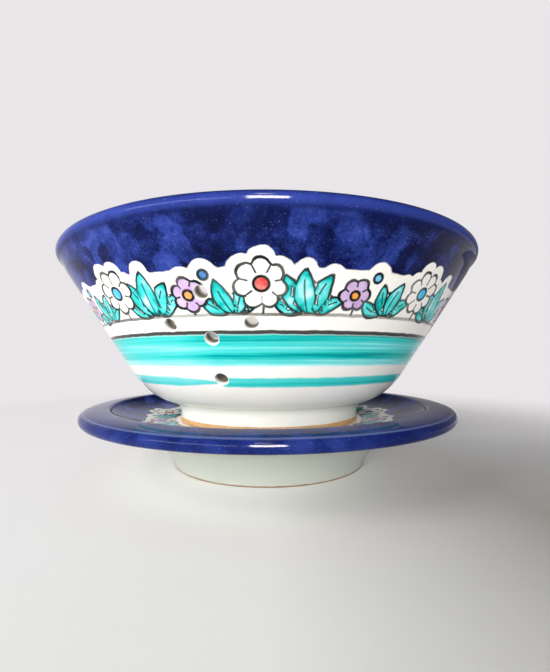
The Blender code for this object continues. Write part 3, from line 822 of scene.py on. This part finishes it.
edge_radius = DRAIN_RADIUS + DRAIN_EDGE_ROUND
clear_radius = edge_radius + CUTTER_CLEAR
cutter_end = -BOWL_WALL - CUTTER_BELOW
cutter_profile = np.concatenate([
    [(0, CUTTER_ABOVE), (clear_radius, CUTTER_ABOVE), (clear_radius, CUTTER_LEDGE)],
    roll((edge_radius, -DRAIN_EDGE_ROUND), DRAIN_EDGE_ROUND, math.pi / 2, math.pi, 5),
    [(DRAIN_RADIUS, -BOWL_WALL * part) for part in (0.25, 0.5, 0.75)],
    roll((edge_radius, DRAIN_EDGE_ROUND - BOWL_WALL), DRAIN_EDGE_ROUND, math.pi, 1.5 * math.pi, 5),
    [(clear_radius, -BOWL_WALL - CUTTER_LEDGE), (clear_radius, cutter_end), (0, cutter_end)],
])
cutter = turned("drain_cutter", cutter_profile, CUTTER_STEPS, painted_tin_glaze)
places_mesh = bpy.data.meshes.new("drain_places")
places_mesh.from_pydata((drain_places * MM).tolist(), [], [])
drain_stretches = np.array([(1, 1, depth / BOWL_WALL) for depth in drain_depths])
for name, values in (("bore", drain_bores), ("stretch", drain_stretches)):
    places_mesh.attributes.new(name, "FLOAT_VECTOR", "POINT").data.foreach_set("vector", values.ravel())
places = bpy.data.objects.new("drain_places", places_mesh)
scene.collection.objects.link(places)
bowl = made_by(
    drill_tree(), "glazed_fruit_bowl", plain_bowl.data,
    Places=places, Cutter=cutter, Glaze=painted_tin_glaze,
)
for used in (plain_bowl, cutter, places):
    bpy.data.objects.remove(used)

bowl_draw = np.random.default_rng(BOWL_SEED)
turn, radius, along = unrolled(bowl.data, bowl_profile)
seat = np.array((0, BOWL_SEAT))
ground = run_to(bowl_profile, on_wall_line(BOWL_BELLY, GREY_LINE_HEIGHT) + seat)
rise = ground - along
fields, hue = garland(turn, radius, rise, BOWL_REPEATS, BOWL_MOTIF_SCALE, bowl_draw)
wavering = INNER_COBALT_WAVE * waves(turn, INNER_COBALT_WAVES, bowl_draw)
inner_edge = run_to(bowl_profile, bead[0] + seat) - INNER_COBALT_RUN + wavering
clear_of_motif = nearest_motif(fields) - BOWL_COBALT_MARGIN
fields["cobalt"] = np.minimum(np.minimum(rise - BOWL_COBALT_RISE, clear_of_motif), along - inner_edge)
foot_from = run_to(bowl_profile, (BOWL_FOOT_RADIUS, BARE_FOOT_HEIGHT + BOWL_SEAT))
foot_to = run_to(bowl_profile, (foot_inner, EDGE_ROUND + BOWL_SEAT))
fields["clay"] = past_strip(along, foot_from, foot_to)
spots = spots_of(bowl.data) / MM
drained, bored = np.full(len(spots), FAR), np.zeros(len(spots))
for spot, bore, depth in zip(drain_places, drain_bores, drain_depths):
    off = spots - spot
    up = off @ bore
    across = np.linalg.norm(off - up[:, None] * bore, axis=1)
    near = (up > -DRAIN_NEAR[0]) & (across < DRAIN_NEAR[1])
    drained[near] = np.minimum(drained, across - DRAIN_RADIUS - DRAIN_WIPED)[near]
    inside = near & (across < DRAIN_RADIUS + DRAIN_SLACK)
    bored[inside] = np.clip(np.minimum(-up, depth + up), 0, None)[inside]
# Heights run on over the rim and under the foot, so that no band or line comes again inside or below
crease_run = run_to(bowl_profile, rim_crease + seat)
over_rim = BOWL_HEIGHT + crease_run - along
outside = np.where(along < foot_from, spots[:, 2] - BOWL_SEAT, foot_from - along)
fields["height"] = np.where(along <= crease_run, over_rim, outside)
fields["lap"] = ((turn - DRAIN_FIRST_GROUP) / (2 * np.pi)) % 1.0
spent = np.clip((fields["lap"] - BAND_SPENT_FROM) / BAND_SPENT_OVER, 0, 1)
refilled = np.clip((1 - fields["lap"]) / BAND_REFILL_OVER, 0, 1)
fields["fill"] = BAND_FILL - BAND_SPENT * (spent * refilled)
rim_middle = run_to(bowl_profile, bead_centre + seat + (BOWL_RIM_BEAD, 0))
fields["thin"] = np.exp(-(((along - rim_middle) / EVEN_BLUE_RUN) ** 2))
plain = np.zeros(len(turn))
fields.update(drain=drained, deep=bored, under=plain, edge=plain)
painted(bowl, fields, hue)
thrown(bowl.data, BOWL_SEAT, bowl_draw)
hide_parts("bowl")
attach(bowl, "bowl")
